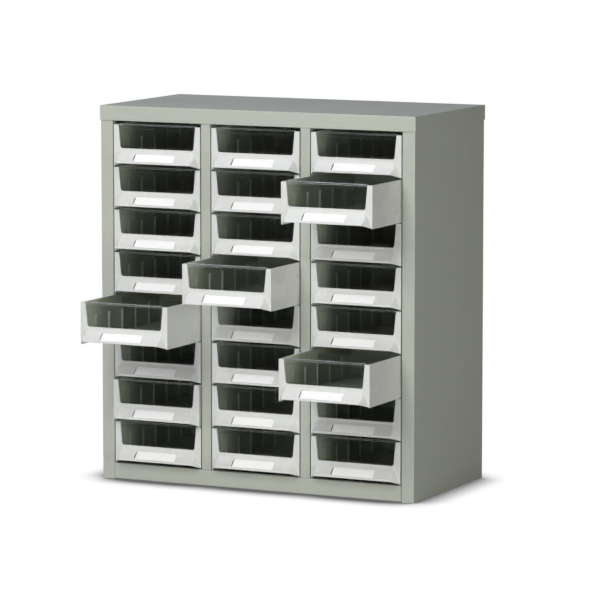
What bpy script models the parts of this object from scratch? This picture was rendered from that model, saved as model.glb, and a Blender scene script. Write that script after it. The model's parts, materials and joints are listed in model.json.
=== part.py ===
"""Steel small-parts cabinet: three columns of eight sliding plastic drawers.

Metres, +Z up. The origin is the centre of the cabinet's footprint, on the floor.
+X is to the right of someone who faces the drawers, and the drawers open towards -Y.
Rows are counted from the top and columns from the left, both from 1.
"""
import math

import bmesh
import bpy
from mathutils import Matrix, Vector

# Cabinet shell, folded from steel sheet
CABINET_WIDTH = 0.586
CABINET_DEPTH = 0.290
CABINET_HEIGHT = 0.640
SHEET = 0.001
GAP = 0.0003
BEND_RADIUS = 0.0012
BEND_SEGMENTS = 2
CAP_SKIRT = 0.0252
RETURN_LEG = 0.012
RAIL_BOTTOM = 0.001
RAIL_TOP = 0.028
MULLION_LEG = 0.015

# Grid of drawer bays
COLUMNS = 3
ROWS = 8
BAY_WIDTH = 0.1676
MULLION_WIDTH = 0.0176
ROW_PITCH = 0.0726
LOWEST_ROW_Z = 0.0296

# Runners: flanges that the drawers slide on, with upturned stop tabs
RUNNER_START = 0.016
RUNNER_REACH = 0.0138
STOP_TAB_POSITION = 0.036
STOP_TAB_WIDTH = 0.007
STOP_TAB_HEIGHT = 0.0025

# Drawer tub, moulded in plastic
TUB_WIDTH = 0.164
TUB_LENGTH = 0.281
TUB_HEIGHT = 0.0706
WALL = 0.0022
FLOOR_UNDERSIDE = 0.0045
FLOOR_THICKNESS = 0.002
STOP_EDGE_Z = 0.0006
SILL_Z = 0.0304
WINDOW_SILL_WIDTH = 0.1385
WINDOW_TOP_WIDTH = 0.1460
WINDOW_CORNER_RADIUS = 0.0035

# Pull lip on the drawer front; its skin is given as (forward, up) points from the top down
PULL_TOP_Z = 0.0260
PULL_SLOPE = ((0.0034, 0.0218), (0.0076, 0.0164), (0.0112, 0.0128), (0.0148, 0.0100))
PULL_NOSE = ((0.0158, 0.0090), (0.0160, 0.0080), (0.0160, 0.0062), (0.0152, 0.0053))
PULL_REACH = 0.0160
PULL_SAG = 0.0009
PULL_FOOT_Z = 0.0050
PULL_FOOT_HALF_WIDTH = 0.0710
CHEEK_ANGLE = math.radians(28)
CHEEK_INSETS = ((0.0, 0.0), (0.0031, 0.0066), (0.0065, 0.0160), (0.0123, 0.0246), (0.0150, 0.0268))
POCKET_WIDTH = 0.077
POCKET_DEPTH = 0.0012

# Clear window insert
PANE_WIDTH = 0.155
PANE_THICKNESS = 0.0018
PANE_BOTTOM_Z = 0.026
BEAD_RADIUS = 0.0023
BEAD_TOP_Z = 0.0722
BEAD_SEGMENTS = 8

# How far each drawer that stands open is pulled out, by (row, column)
OPEN_DRAWERS = {
    (2, 3): 0.113,
    (4, 2): 0.107,
    (5, 1): 0.120,
    (6, 3): 0.122,
    (7, 1): 0.0065,
}

# Worked out from the sizes above
HALF_WIDTH = CABINET_WIDTH / 2
HALF_DEPTH = CABINET_DEPTH / 2
BODY_HALF_WIDTH = HALF_WIDTH - SHEET - GAP
BODY_FRONT_Y = -(HALF_DEPTH - SHEET - GAP)
BODY_BACK_Y = -BODY_FRONT_Y
BODY_TOP_Z = CABINET_HEIGHT - SHEET - GAP
COLUMN_PITCH = BAY_WIDTH + MULLION_WIDTH
STILE_INNER_X = (COLUMNS * BAY_WIDTH + (COLUMNS - 1) * MULLION_WIDTH) / 2
BACK_PANEL_Y = BODY_BACK_Y - SHEET - GAP - SHEET
FLOOR_TOP = FLOOR_UNDERSIDE + FLOOR_THICKNESS
CUT_MARGIN = 0.004
OVERCUT = 0.001
SMOOTH_ANGLE = math.radians(30)

PLANE_YZ = Matrix(((0, 0, 1, 0), (1, 0, 0, 0), (0, 1, 0, 0), (0, 0, 0, 1)))
PLANE_XZ = Matrix(((1, 0, 0, 0), (0, 0, -1, 0), (0, 1, 0, 0), (0, 0, 0, 1)))


# ---------------------------------------------------------------- scene and materials

def empty_scene():
    """Remove every object that the scene starts with."""
    for obj in list(bpy.data.objects):
        bpy.data.objects.remove(obj, do_unlink=True)


def new_collection(name):
    """Add a collection to the scene."""
    collection = bpy.data.collections.new(name)
    bpy.context.scene.collection.children.link(collection)
    return collection


def make_material(name, color, roughness, metallic=0.0, transmission=0.0):
    """Principled material in one finish."""
    material = bpy.data.materials.new(name)
    material.use_nodes = True
    shader = material.node_tree.nodes["Principled BSDF"]
    shader.inputs["Base Color"].default_value = (*color, 1.0)
    shader.inputs["Roughness"].default_value = roughness
    shader.inputs["Metallic"].default_value = metallic
    shader.inputs["Transmission Weight"].default_value = transmission
    material.diffuse_color = (*color, 1.0)
    return material


# ---------------------------------------------------------------- modelling helpers

def add_object(name, mesh, collection):
    """Link a new object that shows the mesh."""
    obj = bpy.data.objects.new(name, mesh)
    collection.objects.link(obj)
    return obj


def box_mesh(name, low, high):
    """Box between two corners, from a unit cube."""
    mesh = bpy.data.meshes.new(name)
    bm = bmesh.new()
    bmesh.ops.create_cube(bm, size=1.0)
    size = [b - a for a, b in zip(low, high)]
    centre = [(a + b) / 2 for a, b in zip(low, high)]
    bmesh.ops.transform(bm, matrix=Matrix.Translation(centre) @ Matrix.Diagonal((*size, 1)), verts=bm.verts)
    bm.to_mesh(mesh)
    bm.free()
    return mesh


def prism_mesh(name, outline, low, high, plane):
    """Extrude a closed outline from low to high along the axis that its plane leaves out."""
    curve = bpy.data.curves.new(name, "CURVE")
    curve.dimensions = "2D"
    curve.fill_mode = "BOTH"
    curve.extrude = (high - low) / 2
    spline = curve.splines.new("POLY")
    spline.points.add(len(outline) - 1)
    for point, (u, v) in zip(spline.points, outline):
        point.co = (u, v, 0, 1)
    spline.use_cyclic_u = True
    guide = bpy.data.objects.new(name, curve)
    bpy.context.scene.collection.objects.link(guide)
    mesh = frozen_mesh(guide, name)
    bm = bmesh.new()
    bm.from_mesh(mesh)
    bmesh.ops.remove_doubles(bm, verts=bm.verts, dist=0.00001)
    side = 1 if plane == PLANE_YZ else -1
    shift = Matrix.Translation((0, 0, side * (low + high) / 2))
    bmesh.ops.transform(bm, matrix=plane @ shift, verts=bm.verts)
    bmesh.ops.recalc_face_normals(bm, faces=bm.faces)
    bm.to_mesh(mesh)
    bm.free()
    bpy.data.objects.remove(guide)
    return mesh


def frozen_mesh(obj, name):
    """The object's mesh with its modifiers applied."""
    depsgraph = bpy.context.evaluated_depsgraph_get()
    mesh = bpy.data.meshes.new_from_object(obj.evaluated_get(depsgraph))
    mesh.name = name
    mesh.shade_smooth()
    mesh.set_sharp_from_angle(angle=SMOOTH_ANGLE)
    return mesh


def add_cutter(name, mesh, cutters, matrix=None):
    """Wire-frame object that only shapes others."""
    cutter = add_object(name, mesh, cutters)
    cutter.hide_render = True
    cutter.display_type = "WIRE"
    if matrix is not None:
        cutter.matrix_world = matrix
    return cutter


def shape_with(obj, tool, operation):
    """Boolean modifier that joins or cuts the object with a tool."""
    modifier = obj.modifiers.new(tool.name, "BOOLEAN")
    modifier.operation = operation
    modifier.solver = "EXACT"
    modifier.object = tool


def arc(centre, radius, start, end, segments):
    """Points along an arc, both ends included; angles in degrees."""
    points = []
    for step in range(segments + 1):
        angle = math.radians(start + (end - start) * step / segments)
        points.append((centre[0] + radius * math.cos(angle), centre[1] + radius * math.sin(angle)))
    return points


def mirrored(outline):
    """Close a half outline, given from the centre outwards and up, with its mirror image."""
    return outline + [(-u, v) for u, v in reversed(outline)]


def bent_sheet(name, outline, low, high, along_x, material, collection):
    """Fold sheet metal along an open outline and run it from low to high.

    The outline is the outer skin: it lies in plan and runs up Z, or in a side view and runs along X.
    """
    bm = bmesh.new()
    vertices = []
    for u, v in outline:
        vertices.append(bm.verts.new((low, u, v) if along_x else (u, v, low)))
    edges = [bm.edges.new(pair) for pair in zip(vertices, vertices[1:])]
    run = (high - low, 0, 0) if along_x else (0, 0, high - low)
    extruded = bmesh.ops.extrude_edge_only(bm, edges=edges)
    moved = [item for item in extruded["geom"] if isinstance(item, bmesh.types.BMVert)]
    bmesh.ops.translate(bm, verts=moved, vec=run)
    folds = [edge for edge in bm.edges if len(edge.link_faces) == 2]
    bmesh.ops.bevel(
        bm, geom=folds, offset=BEND_RADIUS, segments=BEND_SEGMENTS, profile=0.5, affect="EDGES"
    )
    face_outwards(bm)
    mesh = bpy.data.meshes.new(name)
    bm.to_mesh(mesh)
    bm.free()
    obj = add_object(name, mesh, collection)
    thicken(obj)
    obj.data.materials.append(material)
    return obj


def thicken(obj):
    """Give an open skin the thickness of the sheet, inwards."""
    solidify = obj.modifiers.new("sheet", "SOLIDIFY")
    solidify.thickness = SHEET
    solidify.offset = -1.0
    solidify.use_even_offset = True


def face_outwards(bm):
    """Turn an open skin so that its widest face looks away from the skin's middle."""
    middle = sum((vertex.co for vertex in bm.verts), Vector()) / len(bm.verts)
    widest = max(bm.faces, key=lambda face: face.calc_area())
    if widest.normal.dot(widest.calc_center_median() - middle) < 0:
        bmesh.ops.reverse_faces(bm, faces=bm.faces)


# ---------------------------------------------------------------- cabinet shell

def build_cap(paint, parts):
    """Folded lid that drops over the body, open underneath."""
    mesh = box_mesh(
        "top_cap",
        (-HALF_WIDTH, -HALF_DEPTH, CABINET_HEIGHT - CAP_SKIRT),
        (HALF_WIDTH, HALF_DEPTH, CABINET_HEIGHT),
    )
    bm = bmesh.new()
    bm.from_mesh(mesh)
    underside = min(bm.faces, key=lambda face: face.calc_center_median().z)
    bmesh.ops.delete(bm, geom=[underside], context="FACES_ONLY")
    folds = [edge for edge in bm.edges if len(edge.link_faces) == 2]
    bmesh.ops.bevel(
        bm, geom=folds, offset=BEND_RADIUS, segments=BEND_SEGMENTS, profile=0.5, affect="EDGES"
    )
    bm.to_mesh(mesh)
    bm.free()
    cap = add_object("top_cap", mesh, parts)
    thicken(cap)
    cap.data.materials.append(paint)


def build_side_panels(paint, parts):
    """Side panels whose front edges fold in as stiles, and whose back edges fold in as flanges."""
    outline = [
        (STILE_INNER_X, BODY_FRONT_Y + RETURN_LEG),
        (STILE_INNER_X, BODY_FRONT_Y),
        (BODY_HALF_WIDTH, BODY_FRONT_Y),
        (BODY_HALF_WIDTH, BODY_BACK_Y),
        (BODY_HALF_WIDTH - RETURN_LEG, BODY_BACK_Y),
    ]
    bent_sheet("right_side_panel", outline, 0, BODY_TOP_Z, False, paint, parts)
    left_outline = [(-x, y) for x, y in outline]
    bent_sheet("left_side_panel", left_outline, 0, BODY_TOP_Z, False, paint, parts)


def build_mullions(paint, parts):
    """Channels between the columns of drawers."""
    for name, side in (("left_mullion", -1), ("right_mullion", 1)):
        centre = side * COLUMN_PITCH / 2
        inner = centre - MULLION_WIDTH / 2
        outer = centre + MULLION_WIDTH / 2
        outline = [
            (inner, BODY_FRONT_Y + MULLION_LEG),
            (inner, BODY_FRONT_Y),
            (outer, BODY_FRONT_Y),
            (outer, BODY_FRONT_Y + MULLION_LEG),
        ]
        bent_sheet(name, outline, RAIL_TOP + GAP, BODY_TOP_Z, False, paint, parts)


def build_bottom_rail(paint, parts):
    """Channel across the foot of the front, between the stiles."""
    outline = [
        (BODY_FRONT_Y + RETURN_LEG, RAIL_BOTTOM),
        (BODY_FRONT_Y, RAIL_BOTTOM),
        (BODY_FRONT_Y, RAIL_TOP),
        (BODY_FRONT_Y + RETURN_LEG, RAIL_TOP),
    ]
    reach = STILE_INNER_X - GAP
    bent_sheet("bottom_rail", outline, -reach, reach, True, paint, parts)


def build_plates(paint, parts):
    """Flat sheets that close the back and the underside."""
    inside = BODY_HALF_WIDTH - SHEET - GAP
    plates = {
        "back_panel": (
            (-inside, BACK_PANEL_Y, SHEET + GAP),
            (inside, BACK_PANEL_Y + SHEET, BODY_TOP_Z),
        ),
        "base_pan": (
            (-inside, BODY_FRONT_Y + RETURN_LEG + GAP, 0),
            (inside, BACK_PANEL_Y + SHEET, SHEET),
        ),
    }
    for name, (low, high) in plates.items():
        plate = add_object(name, box_mesh(name, low, high), parts)
        plate.data.materials.append(paint)


# ---------------------------------------------------------------- runners

def build_rack(name, web_x, bays, cutters, paint, parts):
    """Upright sheet with a pair of flanges, or one flange, under each row of drawers.

    web_x is the sheet's middle, and bays lists the sides (-1, 1) that have a bay next to the sheet.
    """
    front = BODY_FRONT_Y + RUNNER_START
    back = BACK_PANEL_Y - GAP
    web = box_mesh(
        name, (web_x - SHEET / 2, front, SHEET + GAP), (web_x + SHEET / 2, back, BODY_TOP_Z)
    )
    rack = add_object(name, web, parts)
    flange_top = LOWEST_ROW_Z - GAP
    tab_y = BODY_FRONT_Y + STOP_TAB_POSITION
    for side in bays:
        bay_wall = nearest_bay_wall(web_x, side)
        tip = bay_wall + side * RUNNER_REACH
        flange = sorted((web_x, tip))
        tab = sorted((tip, tip - side * STOP_TAB_WIDTH))
        pieces = {
            "flange": ((flange[0], front, flange_top - SHEET), (flange[1], back, flange_top)),
            "tab": (
                (tab[0], tab_y, flange_top - SHEET / 2),
                (tab[1], tab_y + SHEET, LOWEST_ROW_Z + STOP_TAB_HEIGHT),
            ),
        }
        for kind, (low, high) in pieces.items():
            tool_name = f"{name}_{kind}_{side}"
            tool = add_cutter(tool_name, box_mesh(tool_name, low, high), cutters)
            rows = tool.modifiers.new("rows", "ARRAY")
            rows.count = ROWS
            rows.use_relative_offset = False
            rows.use_constant_offset = True
            rows.constant_offset_displace = (0, 0, ROW_PITCH)
            shape_with(rack, tool, "UNION")
    rack.data.materials.append(paint)


def nearest_bay_wall(x, side):
    """The first bay boundary from x towards side, as the bays' own edges lie."""
    edges = []
    for column in range(1, COLUMNS + 1):
        centre = column_x(column)
        edges.append(centre - side * BAY_WIDTH / 2)
    ahead = [edge for edge in edges if (edge - x) * side > 0]
    return min(ahead, key=lambda edge: abs(edge - x))


def build_racks(cutters, paint, parts):
    """Runner racks on the side panels, and partitions behind the mullions."""
    wall_web = BODY_HALF_WIDTH - SHEET - GAP - SHEET / 2
    build_rack("left_runner_rack", -wall_web, (1,), cutters, paint, parts)
    build_rack("left_partition", -COLUMN_PITCH / 2, (-1, 1), cutters, paint, parts)
    build_rack("right_partition", COLUMN_PITCH / 2, (-1, 1), cutters, paint, parts)
    build_rack("right_runner_rack", wall_web, (-1,), cutters, paint, parts)


# ---------------------------------------------------------------- drawers
# A drawer's own frame: X across, -Y forward from the plane of the cabinet's front,
# and Z up from the bottom edge of its side walls.

def window_outline():
    """Opening in the drawer front: a sill with round corners, flaring to an open top."""
    flare = (WINDOW_TOP_WIDTH - WINDOW_SILL_WIDTH) / 2 / (TUB_HEIGHT - SILL_Z)
    top_z = TUB_HEIGHT + CUT_MARGIN
    lower = WINDOW_SILL_WIDTH / 2
    corner = (lower - WINDOW_CORNER_RADIUS + flare * WINDOW_CORNER_RADIUS, SILL_Z + WINDOW_CORNER_RADIUS)
    half = arc(corner, WINDOW_CORNER_RADIUS, -90, 0, 2)
    half.append((lower + flare * (top_z - SILL_Z), top_z))
    return mirrored(half)


def pull_outline():
    """Side view of the pull lip, forward positive."""
    return [
        (-WALL / 2, 0),
        (-WALL / 2, PULL_TOP_Z),
        (0, PULL_TOP_Z),
        *PULL_SLOPE,
        *PULL_NOSE,
        (PULL_NOSE[-1][0], 0),
    ]


def pull_hollow_outline():
    """Side view of the hollow inside the pull lip, a wall's thickness inside its skin."""
    slope_reach, slope_foot = PULL_SLOPE[-1]
    steepness = (PULL_TOP_Z - slope_foot) / slope_reach
    back_shift = (WALL + PULL_SAG) / math.sin(math.atan(steepness))
    toe = slope_reach - back_shift
    back = -WALL - OVERCUT
    return [
        (back, FLOOR_TOP),
        (toe, FLOOR_TOP + PULL_NOSE[-1][1] - FLOOR_UNDERSIDE),
        (toe, slope_foot),
        (back, PULL_TOP_Z - (back + back_shift) * steepness),
    ]


def pull_foot_outline():
    """Front view of what is cut away under the front, which slopes down to its outer corners."""
    corner = TUB_WIDTH / 2 - WALL / 2
    half = [(corner, -CUT_MARGIN), (corner, 0), (PULL_FOOT_HALF_WIDTH, PULL_FOOT_Z)]
    return half + [(-x, z) for x, z in reversed(half)]


def cheek_outline():
    """Front view of what is cut away beside the pull, right of the drawer."""
    half = TUB_WIDTH / 2
    far = half + 3 * CUT_MARGIN
    curve = [(half - inset, z) for inset, z in CHEEK_INSETS]
    return [(far, 0), *curve, (far, curve[-1][1])]


def forward(outline):
    """Turn (forward, up) points into (Y, Z) points."""
    return [(-reach, z) for reach, z in outline]


def build_tub_mesh(cutters):
    """The moulded tub: a box open at the top, with a window opening and a pull lip."""
    half = TUB_WIDTH / 2
    inner = half - WALL
    tub = add_object("tub_body", box_mesh("tub_body", (-half, 0, 0), (half, TUB_LENGTH, TUB_HEIGHT)), cutters)
    pull_mesh = prism_mesh("pull", forward(pull_outline()), -half, half, PLANE_YZ)
    pull = add_cutter("pull", pull_mesh, cutters)
    cheek = prism_mesh("cheek", cheek_outline(), -3 * PULL_REACH, 0, PLANE_XZ)
    for name, side in (("left_cheek", -1), ("right_cheek", 1)):
        # Turned about the drawer's front corner, so that the cheek runs inwards as it goes forward
        pivot = Matrix.Translation((side * half, 0, 0))
        turn = Matrix.Rotation(-side * CHEEK_ANGLE, 4, "Z")
        mesh = cheek.copy()
        if side < 0:
            mesh.transform(Matrix.Diagonal((-1, 1, 1, 1)))
            mesh.flip_normals()
        shape_with(pull, add_cutter(name, mesh, cutters, pivot @ turn @ pivot.inverted()), "DIFFERENCE")
    shape_with(tub, pull, "UNION")

    pull_hollow_half = half - CHEEK_INSETS[-1][0] - PULL_REACH * math.tan(CHEEK_ANGLE) + WALL
    tools = {
        "cavity": box_mesh(
            "cavity", (-inner, WALL, FLOOR_TOP), (inner, TUB_LENGTH - WALL, TUB_HEIGHT + CUT_MARGIN)
        ),
        "pull_hollow": prism_mesh(
            "pull_hollow", forward(pull_hollow_outline()), -pull_hollow_half, pull_hollow_half, PLANE_YZ
        ),
        "window_opening": prism_mesh(
            "window_opening", window_outline(), -CUT_MARGIN, WALL + OVERCUT, PLANE_XZ
        ),
        "under_floor": box_mesh(
            "under_floor", (-inner, WALL, -CUT_MARGIN), (inner, TUB_LENGTH - WALL, FLOOR_UNDERSIDE)
        ),
        "under_front": prism_mesh(
            "under_front", pull_foot_outline(), -2 * PULL_REACH, WALL + OVERCUT, PLANE_XZ
        ),
        "stop_edge": box_mesh(
            "stop_edge",
            (-inner, TUB_LENGTH - 2 * WALL, -CUT_MARGIN),
            (inner, TUB_LENGTH + CUT_MARGIN, STOP_EDGE_Z),
        ),
        "label_pocket": label_pocket_mesh(),
    }
    for name, mesh in tools.items():
        shape_with(tub, add_cutter(name, mesh, cutters), "DIFFERENCE")
    mesh = frozen_mesh(tub, "drawer_tub")
    bpy.data.objects.remove(tub)
    return mesh


def label_pocket_mesh():
    """Flat recess for the label card, sunk square to the line between the slope's ends."""
    top = PULL_SLOPE[0]
    bottom = PULL_SLOPE[-1]
    run = bottom[0] - top[0]
    drop = top[1] - bottom[1]
    length = math.hypot(run, drop)
    sunk = (-drop / length * POCKET_DEPTH, -run / length * POCKET_DEPTH)
    outline = [
        (top[0] + sunk[0], top[1] + sunk[1]),
        (top[0] - sunk[0], top[1] - sunk[1]),
        (bottom[0] - sunk[0], bottom[1] - sunk[1]),
        (bottom[0] + sunk[0], bottom[1] + sunk[1]),
    ]
    return prism_mesh("label_pocket", forward(outline), -POCKET_WIDTH / 2, POCKET_WIDTH / 2, PLANE_YZ)


def build_window_mesh():
    """Clear pane behind the drawer front, with a round bead along its top edge."""
    front = -(WALL + GAP)
    bead = (front - BEAD_RADIUS, BEAD_TOP_Z - BEAD_RADIUS)
    outline = [(front, PANE_BOTTOM_Z)]
    outline += arc(bead, BEAD_RADIUS, 0, 180, BEAD_SEGMENTS)
    outline += [
        (bead[0] - BEAD_RADIUS, bead[1] - BEAD_RADIUS / 2),
        (front - PANE_THICKNESS, bead[1] - 1.5 * BEAD_RADIUS),
        (front - PANE_THICKNESS, PANE_BOTTOM_Z),
    ]
    return prism_mesh("drawer_window", forward(outline), -PANE_WIDTH / 2, PANE_WIDTH / 2, PLANE_YZ)


def column_x(column):
    """Middle of a column of drawers."""
    return (column - (COLUMNS + 1) / 2) * COLUMN_PITCH


def row_z(row):
    """Height of the bottom edge of a row's drawers."""
    return LOWEST_ROW_Z + (ROWS - row) * ROW_PITCH


def build_drawers(cutters, tub_plastic, clear_plastic, parts):
    """One tub and one window for each bay, under an empty on the drawer's slide axis."""
    tub_mesh = build_tub_mesh(cutters)
    tub_mesh.materials.clear()
    tub_mesh.materials.append(tub_plastic)
    window_mesh = build_window_mesh()
    window_mesh.materials.append(clear_plastic)
    for row in range(1, ROWS + 1):
        for column in range(1, COLUMNS + 1):
            name = f"drawer_r{row}_c{column}"
            slide = add_object(name, None, parts)
            slide.empty_display_size = 0.02
            pull = OPEN_DRAWERS.get((row, column), 0.0)
            slide.location = (column_x(column), BODY_FRONT_Y - pull, row_z(row))
            for kind, mesh in (("tub", tub_mesh), ("window", window_mesh)):
                piece = add_object(f"{name}_{kind}", mesh, parts)
                piece.parent = slide


# ---------------------------------------------------------------- assembly

def main():
    """Model the cabinet and its drawers."""
    empty_scene()
    parts = new_collection("parts_cabinet")
    cutters = new_collection("cutters")
    paint = make_material("painted_steel", (0.42, 0.44, 0.40), 0.45)
    tub_plastic = make_material("drawer_plastic", (0.76, 0.77, 0.74), 0.3)
    clear_plastic = make_material("clear_plastic", (0.9, 0.92, 0.9), 0.08, transmission=1.0)

    build_cap(paint, parts)
    build_side_panels(paint, parts)
    build_mullions(paint, parts)
    build_bottom_rail(paint, parts)
    build_plates(paint, parts)
    build_racks(cutters, paint, parts)
    build_drawers(cutters, tub_plastic, clear_plastic, parts)


main()
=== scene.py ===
"""Looks of the steel small-parts cabinet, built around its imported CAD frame.

Metres, +Z up. The drawers open towards -Y. Rows are counted from the top and columns from the
left, both from 1. A drawer's own frame has X across, -Y forward from the plane of its front, and
Z up from the bottom edge of its side walls.
"""

import json
import math

import bmesh
import bpy
from mathutils import Matrix, Vector


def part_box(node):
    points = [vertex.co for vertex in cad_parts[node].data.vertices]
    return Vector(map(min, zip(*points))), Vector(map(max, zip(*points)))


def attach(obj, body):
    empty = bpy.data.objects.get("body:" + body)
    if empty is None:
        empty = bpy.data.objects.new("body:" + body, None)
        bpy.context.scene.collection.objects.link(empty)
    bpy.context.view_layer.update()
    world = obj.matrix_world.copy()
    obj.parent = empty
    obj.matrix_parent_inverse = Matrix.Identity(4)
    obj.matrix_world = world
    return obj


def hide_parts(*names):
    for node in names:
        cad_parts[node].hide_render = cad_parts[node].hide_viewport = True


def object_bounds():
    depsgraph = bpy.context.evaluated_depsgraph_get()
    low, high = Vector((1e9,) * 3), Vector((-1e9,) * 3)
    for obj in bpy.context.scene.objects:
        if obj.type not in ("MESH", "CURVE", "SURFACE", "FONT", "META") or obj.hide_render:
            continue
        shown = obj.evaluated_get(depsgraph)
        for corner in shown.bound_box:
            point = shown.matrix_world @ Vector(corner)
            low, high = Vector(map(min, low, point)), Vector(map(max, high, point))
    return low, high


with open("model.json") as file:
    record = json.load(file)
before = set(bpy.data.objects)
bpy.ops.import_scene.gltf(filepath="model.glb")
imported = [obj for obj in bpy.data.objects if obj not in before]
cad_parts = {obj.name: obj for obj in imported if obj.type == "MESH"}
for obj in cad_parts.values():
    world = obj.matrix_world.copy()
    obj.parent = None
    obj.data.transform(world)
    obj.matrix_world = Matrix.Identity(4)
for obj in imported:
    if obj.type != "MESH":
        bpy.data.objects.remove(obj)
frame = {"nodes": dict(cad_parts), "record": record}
cad_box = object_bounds()

ROWS = 8
COLUMNS = 3

# Drawer tub
PULL_REACH = 0.0160
WALL = 0.0022
FLOOR_UNDERSIDE = 0.0045
FLOOR_TOP = 0.0065
STOP_EDGE_Z = 0.0006
SIDE_CORNER_RADIUS = 0.0008
RIM_RADIUS = 0.0005
CAVITY_RADIUS = 0.0020
FLOOR_FILLET = 0.0015
CUT_MARGIN = 0.004
OVERCUT = 0.001
FACE_MARGIN = 0.00025

# Window opening in the drawer front
SILL_Z = 0.0304
SILL_HALF_WIDTH = 0.06925
TOP_HALF_WIDTH = 0.0730
OPENING_RADIUS = 0.0035
OPENING_CHAMFER = 0.0006

# Pull lip, as (up, forward) points of its side view from the foot upwards
PULL_PROFILE = (
    (0.0053, 0.0154),
    (0.0062, 0.0160),
    (0.0080, 0.0160),
    (0.0090, 0.0158),
    (0.0100, 0.0148),
    (0.0128, 0.0112),
    (0.0164, 0.0076),
    (0.0218, 0.0034),
    (0.0260, 0.0),
    (0.0275, -0.0012),
)
UNDERSIDE_STEEPNESS = 19.0
CHEEK_ANGLE = math.radians(28)
CHEEK_INSETS = (
    (0.0, 0.0),
    (0.0066, 0.0031),
    (0.0110, 0.0045),
    (0.0160, 0.0065),
    (0.0205, 0.0091),
    (0.0246, 0.0123),
    (0.0268, 0.0150),
    (0.0290, 0.0190),
)
PULL_FOOT_Z = 0.0050
PULL_FOOT_HALF_WIDTH = 0.0710
FOOT_CLEARANCE = 0.0001
CHEEK_FILLET = 0.0026
ROOT_FILLET = 0.0008

# Hollow behind the pull, as (forward, up) points between its two ends at the wall
HOLLOW_PROFILE = (
    (0.0115, 0.0073),
    (0.0115, 0.0100),
    (0.0086, 0.0124),
    (0.0050, 0.0160),
    (0.0009, 0.0212),
)
HOLLOW_TOP_Z = 0.0250

# Label pocket and card, square to the chord between two points of the pull's side view
CHORD_TOP = (0.0034, 0.0218)
CHORD_FOOT = (0.0148, 0.0100)
POCKET_HALF_WIDTH = 0.0385
POCKET_DEPTH = 0.0012
POCKET_SHARE = 0.996
SLIT_WIDTH = 0.0020
SLIT_LENGTH = 0.0112
SLIT_DEPTH = 0.0045
CARD_MARGIN = 0.0002
CARD_THICKNESS = 0.0004
CARD_BOW = 0.0002
CARD_CORNER = 0.0006

# Divider slots on the side walls, and the clear divider that stands in one of them
SLOT_DEPTHS = (0.048, 0.0955, 0.143, 0.1905, 0.238)
SLOT_WIDTH = 0.0021
RIB_THICKNESS = 0.0010
RIB_REACH = 0.0017
RIB_TOP_Z = 0.0445
RIB_FLARE = 0.0011
RIB_FLARE_HEIGHT = 0.0032
DIVIDER_SLOT = 2
DIVIDER_THICKNESS = 0.0015
DIVIDER_TOP_Z = 0.0620
DIVIDER_SIDE_GAP = 0.0005
DIVIDER_CORNER = 0.003
DIVIDER_CHAMFER = 0.0002

# Clear window
PANE_GAP = 0.0003
PANE_THICKNESS = 0.0018
PANE_HALF_WIDTH = 0.0775
PANE_TOP_Z = 0.0680
PANE_BOTTOM_Z = 0.0260
BEAD_RADIUS = 0.0019
BEAD_TOP_Z = 0.0722
BEAD_SEGMENTS = 12
BEAD_SIDE_GAP = 0.0006
PANE_RECESS_INSET = 0.0016
PANE_RECESS_SLOPE = 0.0013
PANE_RECESS_DEPTH = 0.0008
PANE_RECESS_TOP_Z = 0.0655

# Shading of the meshes, and the distance below which points are one
SMOOTH_ANGLE = math.radians(35)
WELD_DISTANCE = 0.000005

# Camera
CAMERA_AZIMUTH = math.radians(25.7803)
CAMERA_ELEVATION = math.radians(7.1636)
CAMERA_DISTANCE = 6.67281
CAMERA_LENS = 234.74
CAMERA_SENSOR = 36.0
CAMERA_TARGET_HEIGHT = 0.320
CAMERA_TARGET_RIGHT = 0.0124638
CAMERA_TARGET_UP = -0.0132482

# Studio: softboxes as name, azimuth, elevation, distance, size, power and colour
LIGHT_AIM_HEIGHT = 0.32
SOFTBOXES = (
    ("key", -4, 42, 4.0, (1.4, 0.8), 50.0, (1.0, 1.0, 1.0)),
    ("front", -4, 25, 4.0, (1.4, 0.8), 41.0, (1.0, 1.0, 1.0)),
    ("left", -40, 28, 4.0, (1.4, 0.8), 8.0, (1.0, 1.0, 1.0)),
    ("side", 67, 2, 3.0, (1.0, 0.6), 20.5, (1.0, 1.0, 0.93)),
    ("low", 8, 2, 3.0, (1.8, 0.3), 9.0, (1.0, 1.0, 1.0)),
    ("strip", -4, 66, 2.5, (1.6, 0.22), 7.0, (1.0, 1.0, 1.0)),
    ("overhead", -100, 80, 1.7, (0.9, 1.2), 5.0, (0.88, 0.91, 1.25)),
    ("back", 245, 18, 3.2, (1.4, 1.2), 24.0, (0.97, 0.98, 1.0)),
)
AMBIENT = 0.02
AMBIENT_COLOR = (0.97, 0.99, 1.0, 1.0)
FLOOR_RADIUS = 9.0
FLOOR_BOUNCE = 0.80
MIRRORED_SKY = 0.08
MIRRORED_ZENITH = 1.0
MIRRORED_COLOR = (0.93, 0.97, 1.0, 1.0)
LOW_SKY = (-0.02, 0.35)
HIGH_SKY = (0.55, 0.95)
# Painted contact shadow on the floor: its reach from the cabinet and its darkest strength.
CONTACT_SHADOW_REACH = 0.07
CONTACT_SHADOW_DARKEST = 0.14

# Colours of the finishes; a drawer's inside fades from painted light near the front to painted shade
# deeper in
WHITE = (1.0, 1.0, 1.0, 1.0)
PAINT = (0.455, 0.478, 0.418)
BARE_EDGE = (0.62, 0.62, 0.58, 1.0)
PLASTIC = (0.68, 0.69, 0.665)
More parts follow.
